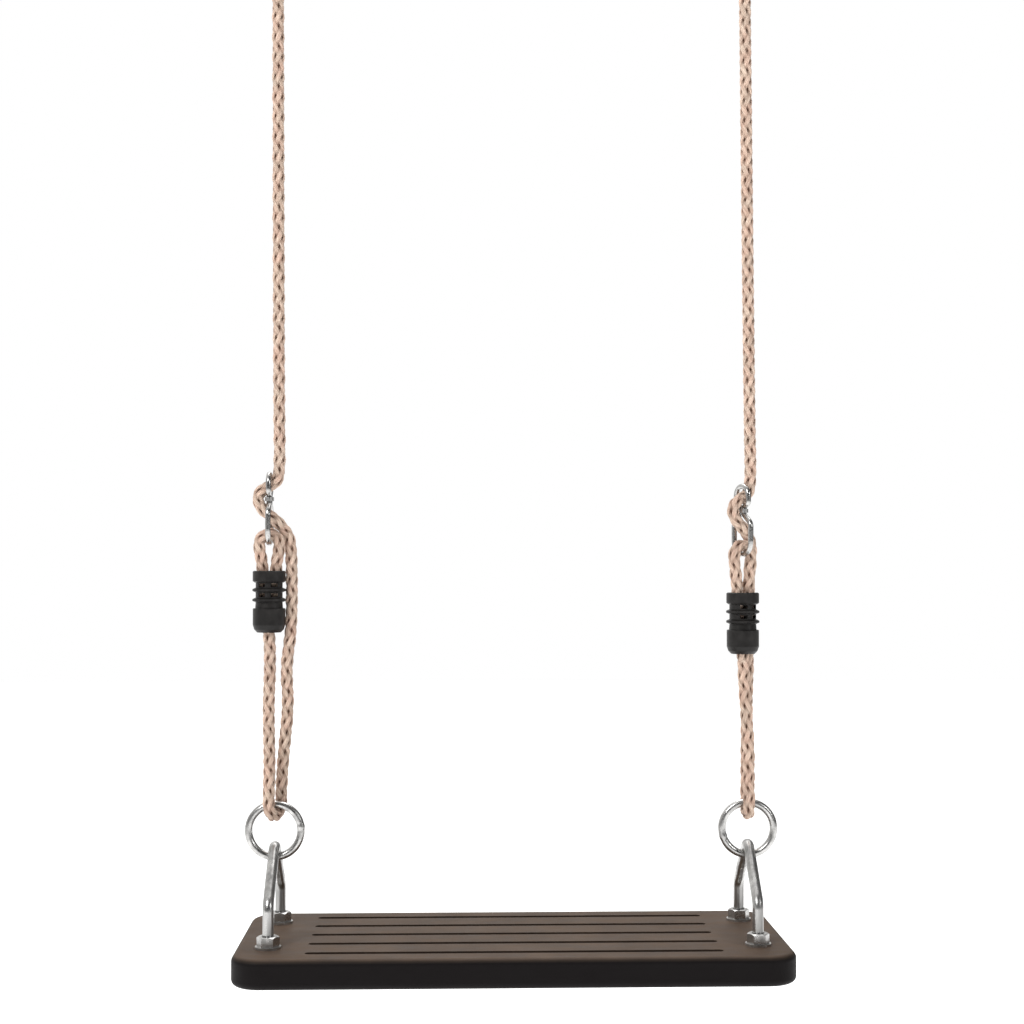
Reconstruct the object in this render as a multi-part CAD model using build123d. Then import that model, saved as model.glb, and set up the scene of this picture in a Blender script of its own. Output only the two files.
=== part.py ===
from build123d import *
from math import cos, pi, radians, sin, tan
import os

# A flat rubber swing seat hung on two ropes. Each rope hangs on a steel ring at its top, is
# shortened through a figure-eight adjuster near its foot, goes round the seat's own ring and comes
# back up to the adjuster. A plastic clamp closes each of its two eyes.
#
# The origin is midway between the centres of the two hanging rings, +Z is up, +X is to the right
# of someone who looks at the swing's front, and +Y points to its back. Lengths are in mm.

# ---- overall sizes ----
ring_spacing = 396.0        # between the two ropes, along X
hang_drop = 914.0           # from the hanging rings' centres down to the seat's top face

# ---- rope ----
rope_diameter = 10.0
fold_radius = 9.0           # of the rope's sharp bends, along its middle
fold_turn = 40.0            # a corner that turns by more degrees than this is a sharp bend

# ---- steel rings: two that hang the swing, two on the seat ----
ring_outer_diameter = 50.0
ring_bar = 6.5

# ---- rubber seat ----
seat_length = 450.0
seat_depth = 185.0
seat_thickness = 24.0
seat_corner = 25.0          # radius of the corners, seen from above
seat_edge = 5.0             # radius of the top and bottom edges
groove_count = 5
groove_pitch = 34.0
groove_width = 7.0
groove_depth = 2.0
groove_length = 334.0

# ---- steel plate moulded into the seat ----
insert_length = 420.0
insert_depth = 130.0
insert_thickness = 2.5
insert_corner = 12.0

# ---- hanger bolts: rods bent to a gable, with threaded legs ----
hanger_rod = 9.0
thread_diameter = 10.0
thread_top = 11.0           # top of the thread, above the seat
hanger_leg_spacing = 98.0
hanger_shoulder = 34.0      # height of the bend from leg to slope, above the seat
hanger_corner = 77.2        # height where the two slopes would meet, above the seat
hanger_bend = 12.0
leg_hole_clearance = 0.5    # round the thread, in the rubber and in the plate
leg_tip = 2.0               # thread that stands past the lock nut
leg_chamfer = 1.0

# ---- nuts and washers ----
nut_across_flats = 16.0
nut_height = 8.0
lock_nut_height = 10.5
nut_chamfer = 1.0
nut_chamfer_slope = 1.6     # how far the chamfer runs in, over its height
lock_nut_hexagon = 0.75     # share of the lock nut's height that is a hexagon
lock_nut_crown_step = 0.6   # from the hexagon's flats in to its round crown
washer_outer = 21.0
washer_thickness = 1.8
thread_clearance = 0.05     # between a nut or washer and the thread
recess_clearance = 2.0      # round the lower washer, in the seat's underside
recess_cover = 0.8          # how far the leg's tip stays inside the recess

# ---- running clearance where the seat hangs on its rings ----
hanger_on_ring = 0.6        # under the hanger bolt's apex

# ---- figure-eight adjuster, lying across the rope ----
adjuster_wire = 4.5
upper_loop_width = 22.0
upper_loop_height = 23.0    # from the waist to the outside of the loop
lower_loop_width = 29.0
lower_loop_height = 39.25
upper_shoulder = 6.2        # height over the waist where the upper loop is full width
lower_shoulder = 10.5       # depth under the waist where the lower loop is full width
waist_gap = 0.5             # between the two wires at the waist
waist_bend = 2.3            # radius of the wires' bends beside the collar
waist_turn = 64.0           # the sharpest of those bends, in degrees, with a little to spare
upper_corner_bend = 3.5
lower_corner_bend = 7.0
loop_end_flat = 0.5         # half the straight wire at the top and foot of the eight
collar_height = 3.2
collar_wall = 1.2
collar_clearance = 0.05

# ---- rope clamp: two half shells in a push-on cup ----
clamp_radius = 13.7
clamp_disc_radius = 13.9
clamp_neck_radius = 11.2
flange_height = 9.8
disc_height = 4.1
disc_rim = 1.6
neck_height = 4.2
collet_neck_height = 4.9    # between the lower disc and the cup
cup_height = 20.1
cup_radius = 13.5
cup_wall = 1.8
cup_foot_radius = 10.0
cup_taper = 5.0             # height of the cup's rounded foot
cup_shoulder = 1.2          # how far the foot's middle corner lies inside the cup's wall
cup_lip = 0.5
cup_clearance = 0.15
clamp_leg = 5.15            # from the clamp's axis to each rope leg
clamp_rope_clearance = 0.4
window_width = 5.4
window_height = 3.0
shell_edge = 0.8

# ---- where the fittings are fixed along each rope ----
# adjuster_above is the height of the adjuster's waist over the seat, and clamp_above that of the
# lower clamp's top face. fittings_x is where both lie, from the ring's centre line, and turn is
# how far both are turned about the rope.
sides = {
    "left": {
        "sign": -1,
        "adjuster_above": 363.0,
        "clamp_above": 303.0,
        "fittings_x": -5.5,
        "turn": 0.0,
    },
    "right": {
        "sign": 1,
        "adjuster_above": 353.5,
        "clamp_above": 284.5,
        "fittings_x": -3.5,
        "turn": 25.0,
    },
}
top_clamp_below = 26.0      # from the hanging ring's lower bar down to the top clamp
top_clamp_turn = 90.0

# ---- sizes that follow ----
seat_top = -hang_drop
bar_radius = ring_bar / 2
bar_circle = ring_outer_diameter / 2 - bar_radius
rope_radius = rope_diameter / 2
rod_radius = hanger_rod / 2
wire_radius = adjuster_wire / 2
hanging_bar_z = -bar_circle
top_clamp_z = hanging_bar_z - top_clamp_below
clamp_height = flange_height + 2 * neck_height + 2 * disc_height + collet_neck_height + cup_height
leg_hole_radius = thread_diameter / 2 + leg_hole_clearance
recess_depth = washer_thickness + lock_nut_height + leg_tip + recess_cover
recess_radius = washer_outer / 2 + recess_clearance
recess_roof = seat_top - seat_thickness + recess_depth
insert_bottom = (seat_top + recess_roof - insert_thickness) / 2
leg_places = [
    (side["sign"] * ring_spacing / 2, y * hanger_leg_spacing / 2)
    for side in sides.values()
    for y in (-1, 1)
]


# ---- hanger apex and the rings that follow from it ----
def apex_height(shoulder, corner, bend):
    """Height of a gable's rounded apex, whose slopes would meet at corner."""
    slope = Vector(hanger_leg_spacing / 2, corner - shoulder).get_angle(Vector(1, 0))
    return corner - bend * (1 / cos(radians(slope)) - 1)


hanger_apex = seat_top + apex_height(hanger_shoulder, hanger_corner, hanger_bend)
seat_ring_foot_z = hanger_apex - rod_radius - hanger_on_ring - bar_radius
seat_ring_z = seat_ring_foot_z + bar_circle
seat_ring_head_z = seat_ring_z + bar_circle

# ---- rope routes ----
# A stretch that a fitting shapes counts x and y from that fitting's axis, in the fitting's own
# directions. The free stretches count x from the ring's centre line.
clamp_rise = [              # from the clamp's top face: the leg that goes on through the cup
    (0.0, 0.0, -46.0),
    (-5.15, 0.0, -31.0),
    (-5.15, 0.0, 4.0),
]
clamp_dead_end = [          # from the clamp's top face: the leg that ends inside
    (5.15, 0.0, 4.0),
    (5.15, 0.0, -25.0),
]
hanging_eye = [             # from the hanging ring's lower bar
    (10.1, 0.0, 4.3),
    (0.0, 0.0, 11.0),
    (-10.1, 0.0, 4.3),
]
weave = [                   # from the adjuster's waist
    (8.0, 0.0, 17.2),
    (-9.3, 0.0, 4.7),
    (-9.3, 0.0, -4.4),
    (4.5, 1.5, -18.0),
    (15.3, 8.5, -29.0),
]
adjuster_eye = [            # from the adjuster's lower bar
    (-8.35, 0.0, 3.9),
    (0.0, 0.0, 9.2),
    (8.35, 0.0, 3.9),
]
left_fall = [               # from the adjuster's waist, beside the clamp
    (12.8, 6.5, -50.0),
    (12.8, 6.5, -108.0),
    (8.2, 3.8, -142.0),
    (10.6, 6.0, -172.0),
    (6.0, 8.6, -214.0),
]
right_fall = [              # from the adjuster's waist, behind the clamp
    (4.6, 17.4, -54.0),
    (4.0, 17.6, -124.0),
    (1.6, 13.0, -170.0),
]
left_ring_turn = [          # from the top bar of the seat's ring
    (4.2, 9.3, 10.0),
    (4.2, 9.3, -4.6),
    (0.0, 0.0, -10.95),
    (-4.2, -9.3, -4.6),
    (-4.2, -9.3, 10.0),
]
right_ring_turn = [         # from the top bar of the seat's ring
    (0.6, 9.3, 14.0),
    (0.0, 9.3, -5.2),
    (0.0, 0.0, -10.6),
    (0.0, -9.3, -5.2),
    (-0.6, -9.3, 14.0),
]
left_return = [             # from the top face of the lower clamp
    (-3.8, -6.5, -160.0),
    (-5.6, -1.8, -112.0),
    (-4.2, -0.6, -80.0),
]
right_return = [            # from the top face of the lower clamp
    (0.4, -5.2, -124.0),
    (-2.6, -1.4, -86.0),
]
free_stretches = {
    "left": (left_fall, left_ring_turn, left_return),
    "right": (right_fall, right_ring_turn, right_return),
}


def placed(points, x, z, turn=0.0):
    """The points, turned about Z and then shifted along X and Z."""
    c, s = cos(radians(turn)), sin(radians(turn))
    return [(px * c - py * s + x, px * s + py * c, pz + z) for px, py, pz in points]


def rope_route(name):
    """One rope's corner points, from its end in the top clamp to its end in the lower clamp."""
    side = sides[name]
    x = side["sign"] * ring_spacing / 2
    turn = side["turn"]
    fitting_x = x + side["fittings_x"]
    waist = seat_top + side["adjuster_above"]
    clamp = seat_top + side["clamp_above"]
    lower_bar = waist - lower_loop_height + wire_radius
    fall, ring_turn, back = free_stretches[name]
    return (
        placed(clamp_dead_end[::-1], x, top_clamp_z, top_clamp_turn)
        + placed(hanging_eye, x, hanging_bar_z, top_clamp_turn)
        + placed(clamp_rise[::-1], x, top_clamp_z, top_clamp_turn)
        + placed(weave, fitting_x, waist, turn)
        + placed(fall, x, waist)
        + placed(ring_turn, x, seat_ring_head_z)
        + placed(back, x, clamp)
        + placed(clamp_rise, fitting_x, clamp, turn)
        + placed(adjuster_eye, fitting_x, lower_bar, turn)
        + placed(clamp_dead_end, fitting_x, clamp, turn)
    )


def bend_radii(points):
    """The largest radius that the two runs at each corner leave room for.

    A sharp corner goes round a bar or a wire, so its arc is no larger than fold_radius.
    """
    radii = []
    for before, corner, after in zip(points, points[1:], points[2:]):
        run_in = Vector(*corner) - Vector(*before)
        run_out = Vector(*after) - Vector(*corner)
        turn = run_in.get_angle(run_out)
        room = 0.45 * min(run_in.length, run_out.length) / tan(radians(turn) / 2)
        radii.append(min(room, fold_radius) if turn > fold_turn else room)
    return radii


def rope(name):
    """One whole rope as a round tube along its route."""
    points = rope_route(name)
    radii = bend_radii(points)
    path = FilletPolyline(*points, radius=radii)
    start = Plane(origin=path @ 0, z_dir=path % 0)
    tube = sweep(start * Circle(rope_radius), path=path.wire())
    ratio = tube.volume / (pi * rope_radius**2 * path.length)
    print(f"{name}_rope length {path.length:.1f} volume ratio {ratio:.4f}")
    print("  radii", " ".join(f"{r:.1f}" for r in radii))
    return tube


# ---- rings ----
def ring(x, z):
    """A welded steel ring that hangs in the XZ plane."""
    return Pos(x, 0, z) * Rot(90, 0, 0) * Torus(bar_circle, bar_radius)


# ---- seat ----
def plate(length, depth, thickness, corner, z):
    """A flat plate with rounded corners, whose bottom face is at z."""
    outline = RectangleRounded(length, depth, corner)
    return Pos(0, 0, z) * extrude(outline, thickness)


def leg_cylinders(radius, z, height):
    """A cylinder at each hanger leg, standing on z."""
    grounded = (Align.CENTER, Align.CENTER, Align.MIN)
    return [Pos(x, y, z) * Cylinder(radius, height, align=grounded) for x, y in leg_places]


def groove(y):
    """A round-ended groove cutter along X, sunk into the seat's top face."""
    slot = SlotOverall(groove_length, groove_width)
    return Pos(0, y, seat_top - groove_depth) * extrude(slot, 2 * groove_depth)


def seat_insert():
    """The steel plate inside the rubber."""
    blank = plate(insert_length, insert_depth, insert_thickness, insert_corner, insert_bottom)
    return blank - leg_cylinders(leg_hole_radius, insert_bottom - 1, insert_thickness + 2)


def seat_rubber():
    """The seat's rubber body."""
    bottom = seat_top - seat_thickness
    body = plate(seat_length, seat_depth, seat_thickness, seat_corner, bottom)
    rims = body.edges().group_by(Axis.Z)
    body = fillet(list(rims[0]) + list(rims[-1]), min(seat_edge, seat_thickness / 2 - 1))
    body -= [groove((i - (groove_count - 1) / 2) * groove_pitch) for i in range(groove_count)]
    body -= leg_cylinders(leg_hole_radius, bottom - 1, seat_thickness + 2)
    body -= leg_cylinders(recess_radius, bottom - 1, recess_depth + 1)
    return body - plate(insert_length, insert_depth, insert_thickness, insert_corner, insert_bottom)


# ---- hanger bolts and their fasteners ----
leg_end = recess_roof - washer_thickness - lock_nut_height - leg_tip


def hanger_bolt(x):
    """One rod bent to a gable over the seat, its legs threaded below thread_top."""
    half = hanger_leg_spacing / 2
    legs_top = seat_top + thread_top
    outline = [
        (x, -half, legs_top),
        (x, -half, seat_top + hanger_shoulder),
        (x, 0, seat_top + hanger_corner),
        (x, half, seat_top + hanger_shoulder),
        (x, half, legs_top),
    ]
    path = FilletPolyline(*outline, radius=hanger_bend)
    rod = sweep(Plane(origin=path @ 0, z_dir=path % 0) * Circle(rod_radius), path=path.wire())
    grounded = (Align.CENTER, Align.CENTER, Align.MIN)
    leg = Cylinder(thread_diameter / 2, legs_top - leg_end, align=grounded)
    leg = chamfer(leg.edges().group_by(Axis.Z)[0], leg_chamfer)
    legs = [Pos(x, y, leg_end) * leg for y in (-half, half)]
    return rod + legs


def hex_nut(height, domed=False):
    """A hexagon nut that stands on z = 0, chamfered on the faces that show."""
    grounded = (Align.CENTER, Align.CENTER, Align.MIN)
    corner_radius = nut_across_flats / 2 / cos(pi / 6)
    body = extrude(RegularPolygon(corner_radius, 6), height)
    cone_top = corner_radius - nut_chamfer * nut_chamfer_slope
    upper = Pos(0, 0, height - nut_chamfer)
    envelope = Cylinder(corner_radius, height - nut_chamfer, align=grounded)
    envelope += upper * Cone(corner_radius, cone_top, nut_chamfer, align=grounded)
    body &= envelope
    if domed:
        hex_part = height * lock_nut_hexagon
        crown = Cylinder(nut_across_flats / 2 - lock_nut_crown_step, height, align=grounded)
        body = (body & Cylinder(corner_radius, hex_part, align=grounded)) + crown
    return body - Cylinder(thread_diameter / 2 + thread_clearance, height, align=grounded)


def washer():
    """A flat washer that stands on z = 0."""
    grounded = (Align.CENTER, Align.CENTER, Align.MIN)
    blank = Cylinder(washer_outer / 2, washer_thickness, align=grounded)
    hole_radius = thread_diameter / 2 + thread_clearance
    return blank - Cylinder(hole_radius, washer_thickness, align=grounded)


def at_legs(piece, z, flipped=False):
    """The same piece at each hanger leg, standing on z or hanging from it."""
    turn = Rot(180, 0, 0) if flipped else Rot(0, 0, 0)
    return Compound(children=[Pos(x, y, z) * turn * piece for x, y in leg_places])


# ---- adjuster ----
def half_adjuster_path():
    """Half of the figure eight's wire, in the YZ plane, from its top to its foot."""
    upper_y = upper_loop_width / 2 - wire_radius
    upper_z = upper_loop_height - wire_radius
    lower_y = lower_loop_width / 2 - wire_radius
    lower_z = lower_loop_height - wire_radius
    waist_y = wire_radius + waist_gap / 2
    waist_z = collar_height / 2 + waist_bend * tan(radians(waist_turn / 2))
    corners = [
        (0, 0, upper_z),
        (0, upper_y, upper_z),
        (0, upper_y, upper_shoulder),
        (0, waist_y, waist_z),
        (0, waist_y, -waist_z),
        (0, lower_y, -lower_shoulder),
        (0, lower_y, -lower_z),
        (0, 0, -lower_z),
    ]
    radii = [upper_y - loop_end_flat, upper_corner_bend, waist_bend]
    radii += [waist_bend, lower_corner_bend, lower_y - loop_end_flat]
    return FilletPolyline(*corners, radius=radii)


def adjuster(x, waist_z, turn):
    """The figure-eight wire, its plane turned from the YZ plane by turn degrees."""
    path = half_adjuster_path()
    start = Plane(origin=path @ 0, z_dir=path % 0)
    half = sweep(start * Circle(wire_radius), path=path.wire())
    whole = half + mirror(half, about=Plane.XZ)
    return Pos(x, 0, waist_z) * Rot(0, 0, turn) * whole


def adjuster_collar(x, waist_z, turn):
    """The sleeve pressed round the two wires at the waist."""
    wires_width = 2 * adjuster_wire + waist_gap + 2 * collar_clearance
    wires_depth = adjuster_wire + 2 * collar_clearance
    inner = SlotOverall(wires_width, wires_depth)
    outer = SlotOverall(wires_width + 2 * collar_wall, wires_depth + 2 * collar_wall)
    sleeve = Pos(0, 0, -collar_height / 2) * extrude(outer - inner, collar_height)
    return Pos(x, 0, waist_z) * Rot(0, 0, turn + 90) * sleeve


# ---- rope clamp ----
cup_top = -clamp_height + cup_height
skirt_radius = cup_radius - cup_wall - cup_clearance


def clamp_profile():
    """Half section of the two shells closed together, top face at z = 0: (radius, z) corners."""
    corners = [(0, 0), (clamp_radius - shell_edge, 0), (clamp_radius, -shell_edge)]
    z = -flange_height
    corners += [(clamp_radius, z + 1.5 * shell_edge), (clamp_radius - 2 * shell_edge, z)]
    corners += [(clamp_neck_radius, z)]
    for _ in range(2):
        z -= neck_height
        corners += [(clamp_neck_radius, z), (clamp_disc_radius, z - (disc_height - disc_rim) / 2)]
        z -= disc_height
        corners += [(clamp_disc_radius, z + (disc_height - disc_rim) / 2), (clamp_neck_radius, z)]
    floor = -clamp_height + cup_wall + cup_clearance
    corners += [(skirt_radius, cup_top), (skirt_radius, floor + cup_taper)]
    corners += [(cup_foot_radius - cup_wall, floor), (0, floor)]
    return corners


def clamp_cavity():
    """The room for two rope legs side by side along X, open at both ends."""
    half_width = clamp_leg + rope_radius + clamp_rope_clearance
    slot = SlotOverall(2 * half_width, rope_diameter + 2 * clamp_rope_clearance)
    return Pos(0, 0, -clamp_height - 1) * extrude(slot, clamp_height + 2)


def clamp_windows():
    """Openings in the two necks, one over each rope leg, through front and back."""
    necks = [-flange_height - neck_height / 2]
    necks.append(necks[0] - neck_height - disc_height)
    window = Box(window_width, 4 * clamp_radius, window_height)
    return [Pos(x, 0, z) * window for x in (-clamp_leg, clamp_leg) for z in necks]


def clamp_pieces():
    """The front shell, the back shell and the cup of one clamp, top face at z = 0."""
    section = make_face(Polyline(*[(r, 0, z) for r, z in clamp_profile()], close=True))
    body = revolve(section, Axis.Z)
    body -= clamp_cavity()
    body -= clamp_windows()
    front = split(body, bisect_by=Plane.XZ, keep=Keep.TOP)
    back = split(body, bisect_by=Plane.XZ, keep=Keep.BOTTOM)
    foot = -clamp_height
    cup_corners = [
        (rope_radius + clamp_rope_clearance, foot),
        (cup_foot_radius, foot),
        (cup_radius - cup_shoulder, foot + cup_taper / 2),
        (cup_radius, foot + cup_taper + cup_shoulder),
        (cup_radius, cup_top - cup_lip),
        (cup_radius - cup_lip, cup_top),
        (cup_radius - cup_wall, cup_top),
        (cup_radius - cup_wall, foot + cup_wall + cup_taper),
        (cup_foot_radius - cup_wall + cup_clearance, foot + cup_wall),
        (rope_radius + clamp_rope_clearance, foot + cup_wall),
    ]
    cup_section = make_face(Polyline(*[(r, 0, z) for r, z in cup_corners], close=True))
    cup = revolve(cup_section, Axis.Z)
    return {"shell_front": front, "shell_back": back, "cup": cup}


# ---- build and write every piece ----
def save(node, shape):
    """Write one node's solids to its STEP file."""
    shape.label = node
    export_step(shape, f"parts/{node}.step")


def main():
    os.makedirs("parts", exist_ok=True)
    save("seat_rubber", seat_rubber())
    save("seat_insert", seat_insert())
    save("upper_washers", at_legs(washer(), seat_top))
    save("upper_nuts", at_legs(hex_nut(nut_height), seat_top + washer_thickness))
    save("lower_washers", at_legs(washer(), recess_roof, flipped=True))
    lock_nut = hex_nut(lock_nut_height, domed=True)
    save("lower_lock_nuts", at_legs(lock_nut, recess_roof - washer_thickness, flipped=True))

    clamp = clamp_pieces()
    for name, side in sides.items():
        x = side["sign"] * ring_spacing / 2
        fitting_x = x + side["fittings_x"]
        place = (fitting_x, seat_top + side["adjuster_above"], side["turn"])
        save(f"{name}_hanger_bolt", hanger_bolt(x))
        save(f"{name}_seat_ring", ring(x, seat_ring_z))
        save(f"{name}_hanging_ring", ring(x, 0))
        save(f"{name}_rope", rope(name))
        save(f"{name}_adjuster", adjuster(*place))
        save(f"{name}_adjuster_collar", adjuster_collar(*place))
        top_place = Pos(x, 0, top_clamp_z) * Rot(0, 0, top_clamp_turn)
        lower_clamp_z = seat_top + side["clamp_above"]
        lower_place = Pos(fitting_x, 0, lower_clamp_z) * Rot(0, 0, side["turn"])
        for piece, shape in clamp.items():
            save(f"{name}_top_clamp_{piece}", top_place * shape)
            save(f"{name}_lower_clamp_{piece}", lower_place * shape)


main()
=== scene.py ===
"""A rubber swing seat on two adjustable ropes: the finishes, the plaited ropes and the fine detail
of its steel parts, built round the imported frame."""

import math

import bpy
import numpy as np
from bpy.props import FloatProperty, FloatVectorProperty, IntProperty, PointerProperty
from mathutils import Matrix, Vector


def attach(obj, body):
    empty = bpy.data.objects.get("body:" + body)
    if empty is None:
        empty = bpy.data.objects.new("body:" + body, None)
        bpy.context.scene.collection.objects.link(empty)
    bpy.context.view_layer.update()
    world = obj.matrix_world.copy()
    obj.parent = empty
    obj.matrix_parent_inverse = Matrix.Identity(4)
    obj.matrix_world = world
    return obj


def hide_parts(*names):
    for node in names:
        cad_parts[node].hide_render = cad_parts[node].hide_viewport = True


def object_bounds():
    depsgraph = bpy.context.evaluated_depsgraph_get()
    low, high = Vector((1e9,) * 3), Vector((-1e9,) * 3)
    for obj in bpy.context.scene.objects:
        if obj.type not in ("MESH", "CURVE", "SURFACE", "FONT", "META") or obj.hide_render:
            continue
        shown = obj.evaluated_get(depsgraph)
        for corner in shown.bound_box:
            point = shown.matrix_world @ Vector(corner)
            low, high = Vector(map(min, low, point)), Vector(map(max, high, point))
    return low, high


bl_info = {
    "name": "Rope swing seat",
    "version": (1, 0, 0),
    "blender": (4, 5, 0),
    "location": "3D View > Sidebar > Rope swing",
    "description": "Plaited ropes, steel fittings and rubber seat of a swing on adjustable ropes",
    "category": "Object",
}

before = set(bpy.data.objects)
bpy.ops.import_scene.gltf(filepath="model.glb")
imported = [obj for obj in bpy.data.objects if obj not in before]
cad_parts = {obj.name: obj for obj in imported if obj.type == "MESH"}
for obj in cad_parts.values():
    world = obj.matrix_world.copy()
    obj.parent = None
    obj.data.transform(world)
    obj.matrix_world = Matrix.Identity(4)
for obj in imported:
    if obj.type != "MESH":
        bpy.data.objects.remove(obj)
cad_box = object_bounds()
LIT_POINT = Vector((0.0, 0.0, -0.6))

# ---- where things are, in metres ----
RING_LINE = {"left": -0.198, "right": 0.198}
TURN = {"left": 0.0, "right": math.radians(25.0)}
FITTINGS = {"left": -0.2035, "right": 0.1945}
HANGING_BAR = -0.02175
TOP_CLAMP = -0.04775
WAIST = {"left": -0.551, "right": -0.5605}
LOWER_BAR = {"left": -0.588, "right": -0.5975}
LOWER_CLAMP = {"left": -0.611, "right": -0.6295}
SEAT_RING_HEAD = -0.80565
QUARTER_TURN = math.radians(90.0)

# ---- the ropes' control points ----
# Points that a fitting shapes count from that fitting's axis, and the others from the ring's line.
CLAMP_RISE = [(0.0, 0.0, -0.046), (-0.00515, 0.0, -0.031), (-0.00515, 0.0, 0.004)]
CLAMP_END = [(0.00515, 0.0, 0.004), (0.00515, 0.0, -0.025)]
HANGING_EYE = [
    (0.0100, 0.0, -0.0020),
    (0.0087, 0.0, 0.0062),
    (0.0, 0.0, 0.0104),
    (-0.0087, 0.0, 0.0062),
    (-0.0100, 0.0, -0.0020),
]
WEAVE = [
    (0.0087, 0.0, 0.0260),
    (0.0059, 0.0, 0.0132),
    (-0.0066, 0.0, 0.0081),
    (-0.0104, 0.0, 0.0002),
    (-0.0064, 0.0001, -0.0084),
    (0.0050, 0.0018, -0.0174),
    (0.0158, 0.0089, -0.0296),
]
ADJUSTER_EYE = [
    (-0.0090, 0.0, -0.0027),
    (-0.0071, 0.0, 0.0053),
    (0.0, 0.0, 0.0087),
    (0.0071, 0.0, 0.0053),
    (0.0090, 0.0, -0.0027),
]
HANG = {
    "left": [(0.0001, 0.0, -0.10975), (0.00215, 0.0, -0.4738)],
    "right": [(0.00013, 0.00012, -0.10975), (0.00326, 0.00294, -0.4833)],
}
FALL = {
    "left": [
        (0.0128, 0.0065, -0.050),
        (0.0128, 0.0065, -0.108),
        (0.0082, 0.0038, -0.142),
        (0.0106, 0.0060, -0.172),
        (0.0060, 0.0086, -0.214),
    ],
    "right": [
        (0.0046, 0.0174, -0.054),
        (0.0040, 0.0176, -0.124),
        (0.0016, 0.0130, -0.170),
    ],
}
RING_TURN = {
    "left": [
        (0.0042, 0.0093, 0.010),
        (0.0042, 0.0093, -0.0046),
        (0.0, 0.0, -0.01095),
        (-0.0042, -0.0093, -0.0046),
        (-0.0042, -0.0093, 0.010),
    ],
    "right": [
        (0.0006, 0.0093, 0.014),
        (0.0, 0.0093, -0.0052),
        (0.0, 0.0, -0.0106),
        (0.0, -0.0093, -0.0052),
        (-0.0006, -0.0093, 0.014),
    ],
}
RETURN = {
    "left": [(-0.0038, -0.0065, -0.160), (-0.0056, -0.0018, -0.112), (-0.0042, -0.0006, -0.080)],
    "right": [(0.0004, -0.0052, -0.124), (-0.0026, -0.0014, -0.086)],
}

# ---- steel, rubber and plastic sizes, in metres ----
RING_CIRCLE = 0.02175
RING_BAR = 0.00325
SEAT_RING_CENTRE = -0.82740
SEAT_TOP = -0.914
LEG_END = -0.9372
LEG_SPREAD = 0.049
THREAD_TOP = SEAT_TOP + 0.011
SHOULDER = SEAT_TOP + 0.034
GABLE_CORNER = SEAT_TOP + 0.0772
GABLE_BEND = 0.012
ROD_RADIUS = 0.0045
LOCK_NUT_END = -0.9352

# ---- how the meshes are made, in metres where they are lengths ----
ROPE_STEP = 0.0016          # between a rope's rows of points
ROPE_SEED = 11
WANDER_STRETCHES = 90       # along a rope, in which a strand drifts one way
WANDER = 0.035              # that drift, in radians
CORE_COLUMNS = 10
YARNS = 3                   # lobes round a strand
BEAD_WIDTH = 0.0016
BEAD_TOE = 0.0030           # from a weld's middle to the dip beside it
TOE_WIDTH = 0.0008
TIP_CHAMFER = 0.0010
THREAD_RUN_OUT = 0.0022
THREAD_STEEPNESS = 1.5
THREAD_ROOT_SHARE = 0.22
LEG_COLUMNS = 32
BEND_STEPS = 14
NYLON_SECTION = [           # radius and drop of each corner of a lock nut's nylon ring
    (0.0067, 0.0),
    (0.0066, -0.0004),
    (0.0060, -0.00055),
    (0.00508, -0.0004),
    (0.00508, 0.0),
]

CLAMPS = [
    f"{side}_{level}_clamp_{piece}"
    for side in ("left", "right")
    for level in ("top", "lower")
    for piece in ("shell_front", "shell_back", "cup")
]


class RopeSettings(bpy.types.PropertyGroup):
    """Sizes and colours of the plaited ropes."""

    diameter: FloatProperty(
        name="Diameter", description="Thickness of the rope", default=0.010, unit="LENGTH"
    )
    lay_length: FloatProperty(
        name="Lay length",
        description="Rope in which a strand goes round once",
        default=0.068,
        unit="LENGTH",
    )
    strands: IntProperty(
        name="Strands", description="Strands that turn each way", default=4, min=2, max=8
    )
    # light is the fibre's own colour, shown where a strand lies highest in the braid.
    light: FloatVectorProperty(
        name="Fibre", description="Colour of clean fibre", subtype="COLOR",
        default=(0.86, 0.715, 0.610),
    )
    # Painted shade: this colour goes into the gaps between the strands and onto the core, more of
    # it the lower a point lies in the braid.
    painted_gap_shade: FloatVectorProperty(
        name="Gaps", description="Colour between the strands", subtype="COLOR",
        default=(0.170, 0.098, 0.066),
    )
    ruddy: FloatVectorProperty(
        name="Ruddy", description="What the reddest patches multiply the colour by",
        subtype="COLOR", default=(0.93, 0.72, 0.69),
    )


class SteelSettings(bpy.types.PropertyGroup):
    """Sizes and colours of the galvanised parts."""

    zinc: FloatVectorProperty(
        name="Zinc", description="Colour of the zinc coat", subtype="COLOR",
        default=(0.54, 0.535, 0.525),
    )
    weld_height: FloatProperty(
        name="Weld height", description="How far a ring's weld stands proud",
        default=0.0002, unit="LENGTH",
    )
    thread_pitch: FloatProperty(
        name="Thread pitch", description="Distance from one thread to the next",
        default=0.0015, unit="LENGTH",
    )
    thread_crest: FloatProperty(
        name="Thread crest", description="Outer radius of the threads",
        default=0.005, unit="LENGTH",
    )
    thread_root: FloatProperty(
        name="Thread root", description="Inner radius of the threads",
        default=0.0042, unit="LENGTH",
    )


class SeatSettings(bpy.types.PropertyGroup):
    """Colours of the rubber seat."""

    rubber: FloatVectorProperty(
        name="Rubber", description="Colour of the rubber", subtype="COLOR",
        default=(0.0055, 0.0042, 0.0044),
    )
    # Partly a dusty blooming and partly painted light: the top is painted lighter than the sides,
    # as it catches more light.
    bloom_and_painted_light: FloatVectorProperty(
        name="Bloom", description="Colour of the dusty bloom on the top", subtype="COLOR",
        default=(0.098, 0.066, 0.046),
    )


class ClampSettings(bpy.types.PropertyGroup):
    """Colours of the rope clamps."""

    plastic: FloatVectorProperty(
        name="Plastic", description="Colour of the moulded plastic", subtype="COLOR",
        default=(0.0125, 0.0115, 0.0110),
    )


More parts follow.
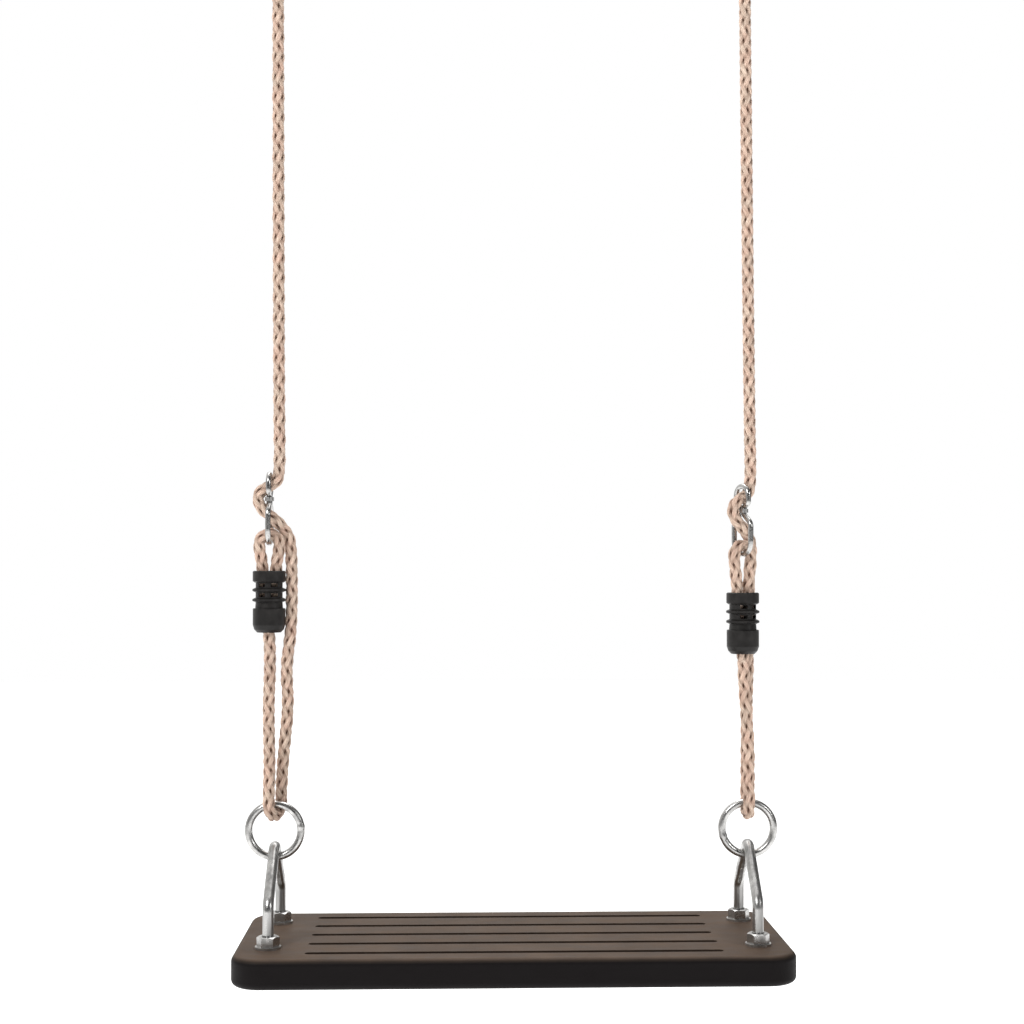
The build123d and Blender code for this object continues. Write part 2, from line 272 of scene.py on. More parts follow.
class StageSettings(bpy.types.PropertyGroup):
    """The camera and the floor."""

    camera_place: FloatVectorProperty(
        name="Camera place", description="Where the camera stands", subtype="TRANSLATION",
        default=(-0.04523, -1.45558, -0.60147),
    )
    camera_yaw: FloatProperty(
        name="Yaw", description="Turn of the camera to the left",
        default=math.radians(-1.771), unit="ROTATION",
    )
    camera_pitch: FloatProperty(
        name="Pitch", description="Tilt of the camera upwards",
        default=math.radians(1.568), unit="ROTATION",
    )
    camera_roll: FloatProperty(
        name="Roll", description="Lean of the camera about its own line of sight",
        default=0.0, unit="ROTATION",
    )
    lens: FloatProperty(
        name="Lens", description="Focal length, in millimetres", default=60.872
    )
    floor_drop: FloatProperty(
        name="Floor drop", description="Distance from the seat's underside to the floor",
        default=0.40, unit="LENGTH",
    )


SETTINGS = {
    "rope": RopeSettings,
    "steel": SteelSettings,
    "seat": SeatSettings,
    "clamp": ClampSettings,
    "stage": StageSettings,
}


def settings(name):
    """The scene's property group of that name."""
    return getattr(bpy.context.scene, f"swing_{name}")


# ---- meshes ----
def add_piece(name, mesh, body):
    """A new object that holds the mesh and rides on a body of the frame."""
    piece = bpy.data.objects.new(name, mesh)
    bpy.context.scene.collection.objects.link(piece)
    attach(piece, body)
    return piece


def tube_faces(rows, columns, first, closed):
    """Quads between rows of points, each row a loop. A closed tube's last row meets its first."""
    row = np.arange(rows if closed else rows - 1)[:, None]
    column = np.arange(columns)[None, :]
    beside = (column + 1) % columns
    below = (row + 1) % rows
    corners = [row * columns + column, row * columns + beside]
    corners += [below * columns + beside, below * columns + column]
    return np.stack(np.broadcast_arrays(*corners), axis=-1).reshape(-1, 4) + first


def tube_mesh(name, tubes, closed=False, marks=None):
    """One mesh of several tubes, each an array of rows of points.

    The map "lay" runs round each tube and, in metres, along it. marks gives a number to every
    point, for each name.
    """
    points, faces, lay, first = [], [], [], 0
    for tube in tubes:
        rows, columns = tube.shape[:2]
        quads = tube_faces(rows, columns, first, closed)
        points.append(tube.reshape(-1, 3))
        faces += quads.tolist()
        step = np.linalg.norm(np.diff(tube.mean(axis=1), axis=0), axis=1)
        along = np.concatenate([[0.0], np.cumsum(step)])
        along = np.append(along, along[-1] + step[-1])
        row = (np.arange(len(quads)) // columns)[:, None]
        column = (np.arange(len(quads)) % columns)[:, None]
        around = (column + [0, 1, 1, 0]) / columns
        length = along[row + [0, 0, 1, 1]]
        lay.append(np.stack([around, length], axis=-1).reshape(-1, 2))
        if not closed:
            faces.append(list(range(first + columns - 1, first - 1, -1)))
            last = first + (rows - 1) * columns
            faces.append(list(range(last, last + columns)))
            lay.append(np.zeros((2 * columns, 2)))
        first += rows * columns
    mesh = bpy.data.meshes.new(name)
    mesh.from_pydata(np.concatenate(points).tolist(), [], faces)
    layer = mesh.uv_layers.new(name="lay")
    layer.uv.foreach_set("vector", np.concatenate(lay).astype(np.float32).ravel())
    for mark, values in (marks or {}).items():
        attribute = mesh.attributes.new(mark, "FLOAT", "POINT")
        attribute.data.foreach_set("value", np.concatenate(values).astype(np.float32).ravel())
    mesh.polygons.foreach_set("use_smooth", [True] * len(mesh.polygons))
    mesh.update()
    return mesh


def unit(vectors):
    """Each vector at length one."""
    return vectors / np.linalg.norm(vectors, axis=-1, keepdims=True)


def across_line(points):
    """Two directions across the line at each of its points, which turn no more than it does."""
    along = unit(np.gradient(points, axis=0))
    side = np.cross(along[0], (0.3, 1.0, 0.1))
    sides = np.empty_like(along)
    for i, direction in enumerate(along):
        side = unit(side - direction * (side @ direction))
        sides[i] = side
    return sides, np.cross(along, sides)


# ---- the ropes ----
def placed(points, x, z, turn=0.0):
    """The points, turned about Z and then shifted along X and Z."""
    c, s = math.cos(turn), math.sin(turn)
    return [(px * c - py * s + x, px * s + py * c, pz + z) for px, py, pz in points]


def rope_route(side):
    """One rope's control points, from its end in the top clamp to its end in the lower clamp."""
    x, fitting, turn = RING_LINE[side], FITTINGS[side], TURN[side]
    return (
        placed(CLAMP_END[::-1], x, TOP_CLAMP, QUARTER_TURN)
        + placed(HANGING_EYE, x, HANGING_BAR, QUARTER_TURN)
        + placed(CLAMP_RISE[::-1], x, TOP_CLAMP, QUARTER_TURN)
        + placed(HANG[side], x, 0.0)
        + placed(WEAVE, fitting, WAIST[side], turn)
        + placed(FALL[side], x, WAIST[side])
        + placed(RING_TURN[side], x, SEAT_RING_HEAD)
        + placed(RETURN[side], x, LOWER_CLAMP[side])
        + placed(CLAMP_RISE, fitting, LOWER_CLAMP[side], turn)
        + placed(ADJUSTER_EYE, fitting, LOWER_BAR[side], turn)
        + placed(CLAMP_END, fitting, LOWER_CLAMP[side], turn)
    )


def smooth_line(name, controls, step):
    """Evenly spaced points on the NURBS line that the control points lead."""
    curve = bpy.data.curves.new(name, "CURVE")
    curve.dimensions = "3D"
    curve.resolution_u = 24
    spline = curve.splines.new("NURBS")
    spline.points.add(len(controls) - 1)
    for point, place in zip(spline.points, controls):
        point.co = (*place, 1.0)
    spline.order_u = 3
    spline.use_endpoint_u = True
    guide = bpy.data.objects.new(name, curve)
    line = bpy.data.meshes.new_from_object(guide)
    found = np.array([vertex.co for vertex in line.vertices])
    bpy.data.objects.remove(guide)
    bpy.data.curves.remove(curve)
    bpy.data.meshes.remove(line)
    reach = np.concatenate([[0.0], np.cumsum(np.linalg.norm(np.diff(found, axis=0), axis=1))])
    places = np.linspace(0.0, reach[-1], round(reach[-1] / step) + 1)
    return np.stack([np.interp(places, reach, found[:, i]) for i in range(3)], axis=1)


def strand(line, sides, fronts, turn, phase, sizes, rng):
    """One strand's rows of points, and how high each point lies in the braid, from 0 to 1."""
    count = len(line)
    run = np.linspace(0.0, sizes["length"], count)
    drifts = rng.normal(0.0, 1.0, WANDER_STRETCHES)
    wander = np.interp(run, np.linspace(0, run[-1], WANDER_STRETCHES), drifts)
    angle = phase + turn * math.tau * run / sizes["lay_length"] + WANDER * wander
    lift = turn * np.cos(2 * sizes["strands"] * math.pi * run / sizes["lay_length"])
    reach = sizes["braid_radius"] + sizes["lift"] * lift
    outward = np.cos(angle)[:, None] * sides + np.sin(angle)[:, None] * fronts
    middle = line + reach[:, None] * outward
    along = unit(np.gradient(middle, axis=0))
    outward = unit(outward - along * np.sum(outward * along, axis=1, keepdims=True))
    beside = np.cross(outward, along)
    columns = sizes["columns"]
    around = np.arange(columns) * math.tau / columns
    twist = turn * math.tau * run / sizes["yarn_lay"] + rng.uniform(0.0, math.tau)
    lobes = 1.0 + sizes["lobe"] * np.cos(YARNS * (around[None, :] - twist[:, None]))
    flat = lobes * sizes["strand_width"] * np.cos(around)[None, :]
    deep = lobes * sizes["strand_depth"] * np.sin(around)[None, :]
    rows = middle[:, None, :] + flat[..., None] * beside[:, None, :]
    rows = rows + deep[..., None] * outward[:, None, :]
    height = np.linalg.norm(rows - line[:, None, :], axis=2)
    low, high = sizes["braid_radius"] * 0.80, sizes["rope_radius"]
    return rows, np.clip((height - low) / (high - low), 0.0, 1.0)


def braid(name, line, sizes, seed):
    """The mesh of a round plait of strands over a core, along the line; the core takes the full
    painted shade of the gaps.
    """
    rng = np.random.default_rng(seed)
    sides, fronts = across_line(line)
    tubes, heights, tones = [], [], []
    for turn in (1, -1):
        for k in range(sizes["strands"]):
            phase = math.tau * k / sizes["strands"]
            rows, height = strand(line, sides, fronts, turn, phase, sizes, rng)
            tubes.append(rows)
            heights.append(height.ravel())
            tones.append(np.full(height.size, rng.uniform(0.0, 1.0)))
    # The core, at height 0 and tone 0, takes the full painted shade of the gaps between the
    # strands.
    around = np.arange(CORE_COLUMNS) * math.tau / CORE_COLUMNS
    ring = np.cos(around)[None, :, None] * sides[::2, None, :]
    ring = ring + np.sin(around)[None, :, None] * fronts[::2, None, :]
    core = line[::2, None, :] + sizes["core_radius"] * ring
    tubes.append(core)
    deep = np.zeros(core.shape[0] * core.shape[1])
    heights.append(deep)
    tones.append(deep)
    return tube_mesh(name, tubes, marks={"height": heights, "tone": tones})


def rope_sizes(rope, length):
    """The plait's inner sizes, from the rope's own."""
    radius = rope.diameter / 2
    return {
        "length": length,
        "lay_length": rope.lay_length,
        "strands": rope.strands,
        "rope_radius": radius,
        "braid_radius": radius * 0.665,
        "lift": radius * 0.125,
        "strand_width": radius * 0.415,
        "strand_depth": radius * 0.275,
        "core_radius": radius * 0.60,
        "columns": 12,
        "yarn_lay": 0.016,
        "lobe": 0.055,
    }


# ---- the steel ----
def ring_mesh(name, centre, weld, steel):
    """A ring of round bar in the XZ plane, with the bead of its weld at the angle weld."""
    turns = np.linspace(0.0, math.tau, 192, endpoint=False)
    around = np.linspace(0.0, math.tau, 28, endpoint=False)
    off = np.abs((turns - weld + math.pi) % math.tau - math.pi) * RING_CIRCLE
    toe = np.exp(-(((off - BEAD_TOE) / TOE_WIDTH) ** 2))
    bead = np.exp(-((off / BEAD_WIDTH) ** 2)) - 0.35 * toe
    ripple = 1.0 + 0.35 * np.cos(3 * around[None, :] + 1.0)
    bar = RING_BAR + steel.weld_height * bead[:, None] * ripple
    reach = RING_CIRCLE + bar * np.cos(around)[None, :]
    x = centre[0] + reach * np.cos(turns)[:, None]
    z = centre[2] + reach * np.sin(turns)[:, None]
    y = centre[1] + bar * np.sin(around)[None, :]
    return tube_mesh(name, [np.stack([x, y, z], axis=-1)], closed=True)


def gable_line(x):
    """The hanger rod's middle line above the threads, its three bends rounded."""
    corners = [
        Vector((x, -LEG_SPREAD, THREAD_TOP)),
        Vector((x, -LEG_SPREAD, SHOULDER)),
        Vector((x, 0.0, GABLE_CORNER)),
        Vector((x, LEG_SPREAD, SHOULDER)),
        Vector((x, LEG_SPREAD, THREAD_TOP)),
    ]
    line = [corners[0]]
    for before, corner, after in zip(corners, corners[1:], corners[2:]):
        into, out = (before - corner).normalized(), (after - corner).normalized()
        half = into.angle(out) / 2
        middle = corner + (into + out).normalized() * (GABLE_BEND / math.sin(half))
        start = corner + into * (GABLE_BEND / math.tan(half)) - middle
        end = corner + out * (GABLE_BEND / math.tan(half)) - middle
        for i in range(BEND_STEPS + 1):
            line.append(middle + start.slerp(end, i / BEND_STEPS) * start.length)
    return np.array(line + [corners[-1]])


def leg_rows(x, y, steel):
    """A threaded leg from its tip up to where the plain rod starts."""
    heights = np.arange(LEG_END, THREAD_TOP, steel.thread_pitch / 8)
    around = np.linspace(0.0, math.tau, LEG_COLUMNS, endpoint=False)
    turn = heights[:, None] / steel.thread_pitch - around[None, :] / math.tau
    wave = np.abs((turn % 1.0) * 2.0 - 1.0)
    profile = np.clip(wave * THREAD_STEEPNESS - THREAD_ROOT_SHARE, 0.0, 1.0)
    radius = steel.thread_root + (steel.thread_crest - steel.thread_root) * profile
    tip = np.clip((heights - LEG_END) / TIP_CHAMFER, 0.0, 1.0)[:, None]
    end = np.clip((THREAD_TOP - heights) / THREAD_RUN_OUT, 0.0, 1.0)[:, None]
    radius = np.minimum(radius, steel.thread_root - 0.0002 + TIP_CHAMFER * tip)
    radius = ROD_RADIUS + (radius - ROD_RADIUS) * end
    places = (x + radius * np.cos(around), y + radius * np.sin(around), heights[:, None])
    return np.stack(np.broadcast_arrays(*places), axis=-1)


def hanger_mesh(name, x, steel):
    """A rod bent to a gable, with rolled threads on both legs."""
    around = np.linspace(0.0, math.tau, LEG_COLUMNS, endpoint=False)
    line = gable_line(x)
    along = unit(np.gradient(line, axis=0))
    along[0], along[-1] = (0.0, 0.0, 1.0), (0.0, 0.0, -1.0)
    side = np.tile((1.0, 0.0, 0.0), (len(line), 1))
    front = np.cross(along, side)
    round_rod = np.cos(around)[None, :, None] * side[:, None, :]
    round_rod = round_rod + np.sin(around)[None, :, None] * front[:, None, :]
    rod = line[:, None, :] + ROD_RADIUS * round_rod
    first = leg_rows(x, -LEG_SPREAD, steel)
    last = leg_rows(x, LEG_SPREAD, steel)[::-1]
    last = np.roll(last[:, ::-1], 1, axis=1)
    return tube_mesh(name, [np.concatenate([first, rod, last])])


def nylon_mesh(name, places):
    """The nylon ring in the end of each lock nut."""
    section = np.array(NYLON_SECTION)
    turns = np.linspace(0.0, math.tau, 40, endpoint=False)
    tubes = []
    for x, y, z in places:
        reach, drop = section[:, 0][None, :], section[:, 1][None, :]
        rows = [x + reach * np.cos(turns)[:, None], y + reach * np.sin(turns)[:, None]]
        rows.append(np.broadcast_to(z + drop, rows[0].shape))
        tubes.append(np.stack(rows, axis=-1))
    return tube_mesh(name, tubes, closed=True)


# ---- materials ----
def node(tree, kind, values=None, **options):
    """A new shader node, with its options, and its inputs set to numbers or led from sockets."""
    made = tree.nodes.new(kind)
    for option, value in options.items():
        setattr(made, option, value)
    for key, value in (values or {}).items():
        if isinstance(value, bpy.types.NodeSocket):
            tree.links.new(value, made.inputs[key])
        else:
            made.inputs[key].default_value = value
    return made


def noise(tree, where, scale, detail=4.0, roughness=0.55):
    """Noise from 0 to 1, with that many cells to a metre."""
    values = {"Vector": where, "Scale": scale, "Detail": detail, "Roughness": roughness}
    return node(tree, "ShaderNodeTexNoise", values).outputs["Fac"]


def spread(tree, value, low, high, to_low=0.0, to_high=1.0):
    """The value, with low to high stretched to to_low and to_high."""
    values = {"Value": value, "From Min": low, "From Max": high}
    values |= {"To Min": to_low, "To Max": to_high}
    return node(tree, "ShaderNodeMapRange", values).outputs["Result"]


def maths(tree, operation, first, second):
    """A sum or product of two values."""
    return node(tree, "ShaderNodeMath", {0: first, 1: second}, operation=operation).outputs[0]


def colour_mix(tree, factor, first, second, kind="MIX"):
    """A colour between two others, or their product where kind says so."""
    ends = [c if isinstance(c, bpy.types.NodeSocket) else (*c, 1.0) for c in (first, second)]
    values = {"Factor": factor, 6: ends[0], 7: ends[1]}
    options = {"data_type": "RGBA", "blend_type": kind}
    return node(tree, "ShaderNodeMix", values, **options).outputs[2]


def attribute(tree, name):
    """A number that the mesh holds at each point."""
    return node(tree, "ShaderNodeAttribute", attribute_name=name).outputs["Fac"]


def own_coordinates(tree):
    """The object's own coordinates and normals."""
    found = node(tree, "ShaderNodeTexCoord")
    return found.outputs["Object"], found.outputs["Normal"]


def new_material(name, fixed, build):
    """A material whose constant inputs are fixed, and whose pattern comes from build.

    build returns the sockets of its colour, roughness and height, and the bump's depth in metres.
    """
    made = bpy.data.materials.new(name)
    made.use_nodes = True
    tree = made.node_tree
    shader = tree.nodes["Principled BSDF"]
    for key, value in fixed.items():
        shader.inputs[key].default_value = value
    colour, roughness, height, depth = build(tree)
    bump = node(tree, "ShaderNodeBump", {"Height": height, "Distance": depth})
    tree.links.new(colour, shader.inputs["Base Color"])
    tree.links.new(roughness, shader.inputs["Roughness"])
    tree.links.new(bump.outputs["Normal"], shader.inputs["Normal"])
    return made


def fibre_material():
    """Matt synthetic hemp: tan fibres along each strand, and painted brown shade between the
    strands and on the core.
    """
    rope = settings("rope")

    def build(tree):
        height, tone = attribute(tree, "height"), attribute(tree, "tone")
        lay = node(tree, "ShaderNodeUVMap", uv_map="lay").outputs["UV"]
        flat = node(tree, "ShaderNodeSeparateXYZ", {"Vector": lay})
        around, along = flat.outputs["X"], flat.outputs["Y"]
        slant = maths(tree, "MULTIPLY", along, 420.0)
        x = maths(tree, "ADD", maths(tree, "MULTIPLY", around, 34.0), slant)
        y = maths(tree, "MULTIPLY", along, 150.0)
        z = maths(tree, "MULTIPLY", tone, 60.0)
        where = node(tree, "ShaderNodeCombineXYZ", {"X": x, "Y": y, "Z": z}).outputs[0]
        fibres = noise(tree, where, 1.0, 3.0, 0.6)
        patches = noise(tree, own_coordinates(tree)[0], 95.0, 3.0)
        # Painted shade: the lower a point lies in the braid, the more of the gap colour it gets.
        high = spread(tree, height, 0.34, 0.99)
        body = colour_mix(tree, high, rope.painted_gap_shade, rope.light)
        reddish = spread(tree, patches, 0.38, 0.66)
        ruddy = colour_mix(tree, reddish, body, rope.ruddy, "MULTIPLY")
        pale = spread(tree, fibres, 0.40, 0.72)
        streaked = colour_mix(tree, pale, (0.62, 0.55, 0.50), (1.12, 1.11, 1.08))
        colour = colour_mix(tree, 1.0, colour_mix(tree, 0.5, body, ruddy), streaked, "MULTIPLY")
        shade = spread(tree, tone, 0.0, 1.0, 0.84, 1.06)
        grey = node(tree, "ShaderNodeCombineXYZ", {"X": shade, "Y": shade, "Z": shade})
        colour = colour_mix(tree, 1.0, colour, grey.outputs[0], "MULTIPLY")
        roughness = spread(tree, fibres, 0.0, 1.0, 0.80, 0.52)
        return colour, roughness, fibres, 0.00035

    fixed = {"Specular IOR Level": 0.15, "Sheen Weight": 0.05, "Sheen Roughness": 0.5}
    return new_material("plaited_fibre", fixed, build)


def zinc_material(name, shine=0.20, drawn=0.0):
    """Galvanised steel, bright where shine is low. drawn stretches its marks along Z."""
    steel = settings("steel")

    def build(tree):
        place = own_coordinates(tree)[0]
        stretch = (1.0, 1.0, 1.0 - 0.92 * drawn)
        where = node(tree, "ShaderNodeMapping", {"Vector": place, "Scale": stretch}).outputs[0]
        cloud = noise(tree, where, 180.0, 5.0)
        grain = noise(tree, where, 1400.0, 3.0)
        zinc = tuple(steel.zinc)
        dull = tuple((0.66 - 0.24 * drawn) * c for c in zinc)
        colour = colour_mix(tree, spread(tree, cloud, 0.35, 0.70), zinc, dull)
        roughness = spread(tree, cloud, 0.3, 0.75, shine, shine + 0.16)
        roughness = maths(tree, "ADD", roughness, spread(tree, grain, 0.3, 0.7, 0.0, 0.06))
        height = maths(tree, "ADD", grain, cloud)
        return colour, roughness, height, 0.00003

    return new_material(name, {"Metallic": 1.0}, build)


def rubber_material():
    """Black moulded rubber, painted a lighter grey-brown on its top and, more faintly, just under
    the top on the sides and groove walls: partly a dusty blooming, partly painted light where the
    top catches the light.
    """
    seat = settings("seat")

    def build(tree):
        place, normal = own_coordinates(tree)
        up = node(tree, "ShaderNodeSeparateXYZ", {"Vector": normal}).outputs["Z"]
        patches = noise(tree, place, 26.0, 6.0, 0.62)
        streaks = node(tree, "ShaderNodeMapping", {"Vector": place, "Scale": (0.55, 1.0, 1.0)})
        smear = noise(tree, streaks.outputs[0], 70.0, 6.0)
        grain = noise(tree, place, 1900.0, 2.0)
        level = node(tree, "ShaderNodeSeparateXYZ", {"Vector": place}).outputs["Z"]
        # Painted light and blooming: up-facing surfaces, and more faintly a band just under the
        # top, take the lighter colour.
        near_top = spread(tree, level, SEAT_TOP - 0.0034, SEAT_TOP - 0.0008, 0.0, 0.42)
        blooming_and_light_mask = maths(tree, "MAXIMUM", spread(tree, up, 0.55, 0.97), near_top)
        dust = spread(tree, maths(tree, "ADD", patches, smear), 0.72, 1.28, 0.60, 1.04)
        bloom_and_painted_light = maths(tree, "MULTIPLY", blooming_and_light_mask, dust)
        colour = colour_mix(tree, bloom_and_painted_light, tuple(seat.rubber), tuple(seat.bloom_and_painted_light))
        roughness = spread(tree, smear, 0.3, 0.7, 0.50, 0.66)
        height = maths(tree, "ADD", grain, maths(tree, "MULTIPLY", smear, 0.8))
        return colour, roughness, height, 0.00007

    return new_material("moulded_rubber", {"Specular IOR Level": 0.10}, build)


def plastic_material():
    """Black nylon with a satin moulded skin."""
    clamp = settings("clamp")

    def build(tree):
        place = own_coordinates(tree)[0]
        skin = noise(tree, place, 1300.0, 3.0)
        flow = noise(tree, place, 140.0, 4.0)
        pale = tuple(1.7 * c for c in clamp.plastic)
        colour = colour_mix(tree, spread(tree, flow, 0.42, 0.72), tuple(clamp.plastic), pale)
        roughness = spread(tree, flow, 0.3, 0.7, 0.34, 0.50)
        return colour, roughness, skin, 0.00004

    return new_material("satin_plastic", {"Specular IOR Level": 0.22}, build)


def nylon_material():
    """Off-white nylon."""

    def build(tree):
        place = own_coordinates(tree)[0]
        cloud = noise(tree, place, 600.0)
        colour = colour_mix(tree, cloud, (0.56, 0.57, 0.54), (0.74, 0.75, 0.72))
        return colour, spread(tree, cloud, 0.0, 1.0, 0.36, 0.5), cloud, 0.00003

    return new_material("lock_nylon", {}, build)


def floor_material():
    """Pale matt paint."""

    def build(tree):
        place = own_coordinates(tree)[0]
        cloud = noise(tree, place, 0.8)
        colour = colour_mix(tree, cloud, (0.86, 0.86, 0.86), (0.90, 0.90, 0.90))
        return colour, spread(tree, cloud, 0.0, 1.0, 0.85, 0.95), cloud, 0.0001

    glow = {"Emission Color": (1.0, 1.0, 1.0, 1.0), "Emission Strength": 0.72}
    return new_material("pale_floor", {"Specular IOR Level": 0.1} | glow, build)


def coat(names, material):
    """Give the frame's nodes a finish."""
    for name in names:
        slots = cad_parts[name].material_slots
        if not slots:
            raise RuntimeError(f"{name} has no material slot")
        for slot in slots:
            slot.material = material


# ---- operators ----
class SWING_OT_camera(bpy.types.Operator):
    """Stand the camera in front of the swing"""

    bl_idname = "swing.camera"
    bl_label = "Camera"

    def execute(self, context):
        stage = settings("stage")
        data = bpy.data.cameras.new("camera")
        data.sensor_width = 36.0
        data.lens = stage.lens
        data.clip_start, data.clip_end = 0.05, 60.0
        camera = bpy.data.objects.new("camera", data)
        turn = Matrix.Rotation(stage.camera_yaw, 4, "Z")
        turn = turn @ Matrix.Rotation(stage.camera_pitch, 4, "X")
        turn = turn @ Matrix.Rotation(stage.camera_roll, 4, "Y")
        turn = turn @ Matrix.Rotation(QUARTER_TURN, 4, "X")
        camera.matrix_world = Matrix.Translation(stage.camera_place) @ turn
        context.scene.collection.objects.link(camera)
        context.scene.camera = camera
        return {"FINISHED"}


class SWING_OT_ropes(bpy.types.Operator):
    """Plait both ropes along their routes"""

    bl_idname = "swing.ropes"
    bl_label = "Ropes"

    def execute(self, context):
        rope = settings("rope")
        fibre = fibre_material()
        for seed, side in enumerate(("left", "right")):
            line = smooth_line(f"{side}_route", rope_route(side), ROPE_STEP)
            length = float(np.sum(np.linalg.norm(np.diff(line, axis=0), axis=1)))
            mesh = braid(f"{side}_rope_plait", line, rope_sizes(rope, length), seed + ROPE_SEED)
            mesh.materials.append(fibre)
            plait = add_piece(f"{side}_rope_plait", mesh, f"{side}_rope_line")
            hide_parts(f"{side}_rope")
        return {"FINISHED"}


class SWING_OT_rings(bpy.types.Operator):
    """Make the four welded rings"""

    bl_idname = "swing.rings"
    bl_label = "Rings"

    def execute(self, context):
        steel = settings("steel")
        zinc = zinc_material("ring_zinc", shine=0.18)
        rings = {
            "left_hanging_ring": (0.0, "hanging_rings", 100.0),
            "right_hanging_ring": (0.0, "hanging_rings", 75.0),
            "left_seat_ring": (SEAT_RING_CENTRE, "left_ring", 8.0),
            "right_seat_ring": (SEAT_RING_CENTRE, "right_ring", 197.0),
        }
        for name, (z, body, weld) in rings.items():
            x = RING_LINE[name.split("_")[0]]
            mesh = ring_mesh(f"{name}_welded", (x, 0.0, z), math.radians(weld), steel)
            mesh.materials.append(zinc)
            piece = add_piece(f"{name}_welded", mesh, body)
            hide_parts(name)
        return {"FINISHED"}


class SWING_OT_hanger_bolts(bpy.types.Operator):
    """Bend the two hanger bolts and thread their legs"""

    bl_idname = "swing.hanger_bolts"
    bl_label = "Hanger bolts"

    def execute(self, context):
        zinc = zinc_material("rod_zinc", shine=0.22, drawn=1.0)
        for side, x in RING_LINE.items():
            mesh = hanger_mesh(f"{side}_hanger_rod", x, settings("steel"))
            mesh.materials.append(zinc)
            piece = add_piece(f"{side}_hanger_rod", mesh, "seat")
            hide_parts(f"{side}_hanger_bolt")
        return {"FINISHED"}


class SWING_OT_fasteners(bpy.types.Operator):
    """Finish the nuts and washers, and add the lock nuts' nylon rings"""

    bl_idname = "swing.fasteners"
    bl_label = "Nuts and washers"

    def execute(self, context):
        coat(["upper_nuts", "lower_lock_nuts"], zinc_material("nut_zinc", shine=0.20))
        coat(["upper_washers", "lower_washers"], zinc_material("washer_zinc", shine=0.24))
        legs = [(x, y) for x in RING_LINE.values() for y in (-LEG_SPREAD, LEG_SPREAD)]
        mesh = nylon_mesh("lock_nut_nylon", [(x, y, LOCK_NUT_END) for x, y in legs])
        mesh.materials.append(nylon_material())
        add_piece("lock_nut_nylon", mesh, "seat")
        return {"FINISHED"}


class SWING_OT_adjusters(bpy.types.Operator):
    """Finish the two wire adjusters and their collars"""

    bl_idname = "swing.adjusters"
    bl_label = "Adjusters"

    def execute(self, context):
        coat(["left_adjuster", "right_adjuster"], zinc_material("wire_zinc", shine=0.14))
        collars = ["left_adjuster_collar", "right_adjuster_collar"]
        coat(collars, zinc_material("collar_zinc", shine=0.26))
        return {"FINISHED"}


class SWING_OT_clamps(bpy.types.Operator):
    """Finish the four rope clamps"""

    bl_idname = "swing.clamps"
    bl_label = "Rope clamps"

    def execute(self, context):
        coat(CLAMPS, plastic_material())
        return {"FINISHED"}


class SWING_OT_seat(bpy.types.Operator):
    """Finish the rubber seat and the plate inside it"""

    bl_idname = "swing.seat"
    bl_label = "Seat"

    def execute(self, context):
        coat(["seat_rubber"], rubber_material())
        coat(["seat_insert"], zinc_material("plate_zinc", shine=0.34))
        return {"FINISHED"}


def add_light(name, place, size, power):
    """A square soft light that faces the middle of the ropes."""
    data = bpy.data.lights.new(name, "AREA")
    data.size, data.energy = size, power
    light = bpy.data.objects.new(name, data)
    light.location = place
    light.rotation_mode = "QUATERNION"
    light.rotation_quaternion = (LIT_POINT - Vector(place)).to_track_quat("-Z", "Y")
    bpy.context.scene.collection.objects.link(light)


def studio_world():
    """White surroundings, whose light falls off towards the front, the right and the floor."""
    world = bpy.data.worlds.new("studio")
    world.use_nodes = True
    tree = world.node_tree
    way = node(tree, "ShaderNodeTexCoord").outputs["Generated"]
    parts = node(tree, "ShaderNodeSeparateXYZ", {"Vector": way})
    back = spread(tree, parts.outputs["Y"], -0.75, 0.45, 0.06, 1.0)
    top = spread(tree, parts.outputs["Z"], -0.1, 0.9, 0.85, 1.25)
    side = spread(tree, parts.outputs["X"], 0.05, 0.60, 1.0, 0.15)
    soft = maths(tree, "MULTIPLY", maths(tree, "MULTIPLY", back, top), side)
    seen = node(tree, "ShaderNodeLightPath").outputs["Is Camera Ray"]
    light = tree.nodes["Background"]
    tree.links.new(soft, light.inputs["Strength"])
    white = node(tree, "ShaderNodeBackground", {"Strength": 1.0, "Color": (1.0, 1.0, 1.0, 1.0)})
    light.inputs["Color"].default_value = (1.0, 0.99, 0.975, 1.0)
    mix = node(
        tree, "ShaderNodeMixShader", {0: seen, 1: light.outputs[0], 2: white.outputs[0]}
    )
    tree.links.new(mix.outputs[0], tree.nodes["World Output"].inputs["Surface"])
    bpy.context.scene.world = world


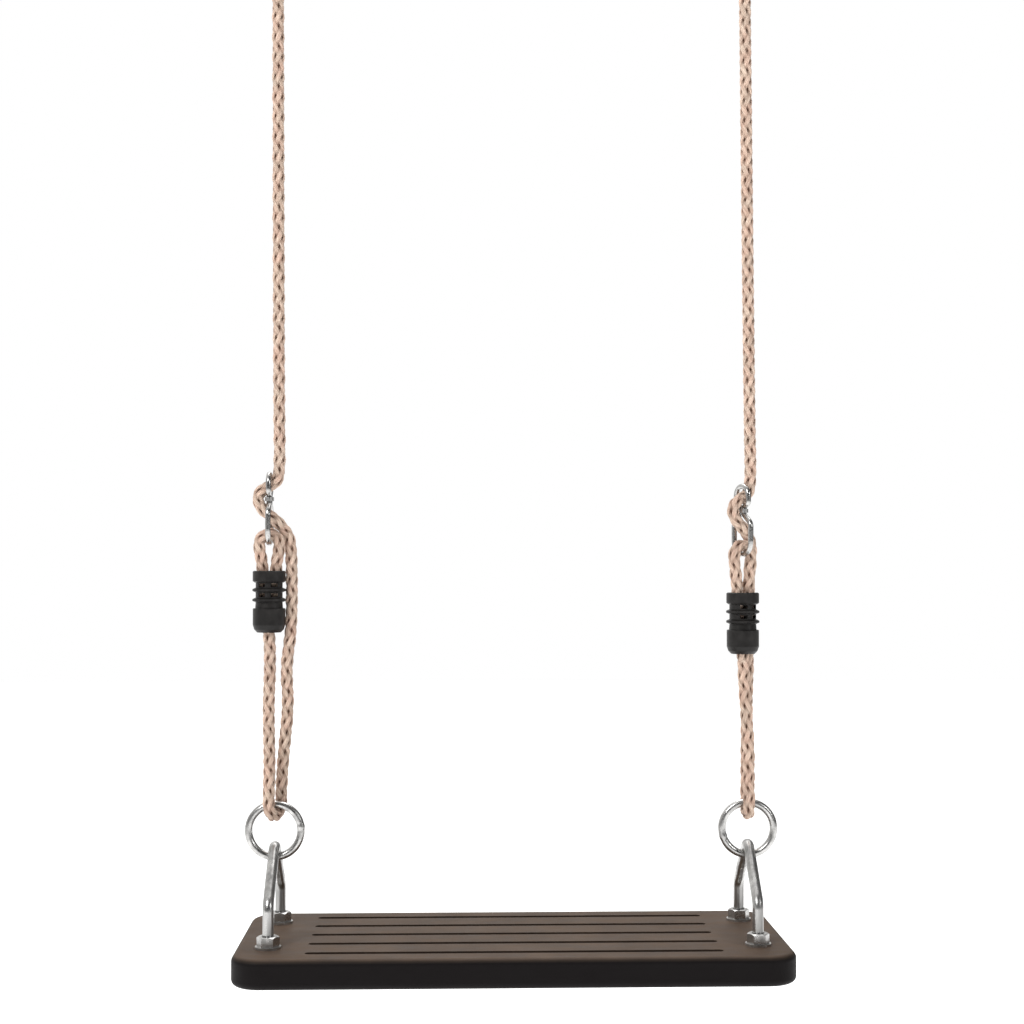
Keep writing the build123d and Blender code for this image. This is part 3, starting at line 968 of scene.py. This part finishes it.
class SWING_OT_stage(bpy.types.Operator):
    """Lay the floor and set the lights"""

    bl_idname = "swing.stage"
    bl_label = "Floor and lights"

    def execute(self, context):
        z = cad_box[0].z - settings("stage").floor_drop
        corners = [(x, y, z) for x, y in ((-9, -9), (9, -9), (9, 9), (-9, 9))]
        mesh = bpy.data.meshes.new("floor")
        mesh.from_pydata(corners, [], [(0, 1, 2, 3)])
        mesh.materials.append(floor_material())
        floor = bpy.data.objects.new("floor", mesh)
        context.scene.collection.objects.link(floor)
        studio_world()
        add_light("key", (-1.3, -1.9, 1.1), 0.9, 46.0)
        add_light("fill", (1.9, -1.3, 0.2), 0.7, 12.0)
        add_light("overhead", (0.2, 0.9, 1.5), 1.8, 34.0)
        context.scene.view_settings.view_transform = "Standard"
        return {"FINISHED"}


OPERATORS = [
    SWING_OT_camera,
    SWING_OT_ropes,
    SWING_OT_rings,
    SWING_OT_hanger_bolts,
    SWING_OT_fasteners,
    SWING_OT_adjusters,
    SWING_OT_clamps,
    SWING_OT_seat,
    SWING_OT_stage,
]


class SWING_PT_parts(bpy.types.Panel):
    """The swing's pieces and their sizes and colours"""

    bl_label = "Rope swing"
    bl_idname = "SWING_PT_parts"
    bl_space_type = "VIEW_3D"
    bl_region_type = "UI"
    bl_category = "Rope swing"

    def draw(self, context):
        for name, group in SETTINGS.items():
            box = self.layout.box()
            box.label(text=name.capitalize())
            for key in group.__annotations__:
                box.prop(settings(name), key)
        for operator in OPERATORS:
            self.layout.operator(operator.bl_idname)


CLASSES = [*SETTINGS.values(), *OPERATORS, SWING_PT_parts]


def register():
    for each in CLASSES:
        bpy.utils.register_class(each)
    for name, group in SETTINGS.items():
        setattr(bpy.types.Scene, f"swing_{name}", PointerProperty(type=group))


def unregister():
    for name in SETTINGS:
        delattr(bpy.types.Scene, f"swing_{name}")
    for each in reversed(CLASSES):
        bpy.utils.unregister_class(each)


def main():
    """Make every piece in order."""
    register()
    for operator in OPERATORS:
        group, name = operator.bl_idname.split(".")
        getattr(getattr(bpy.ops, group), name)()


if __name__ == "__main__":
    main()
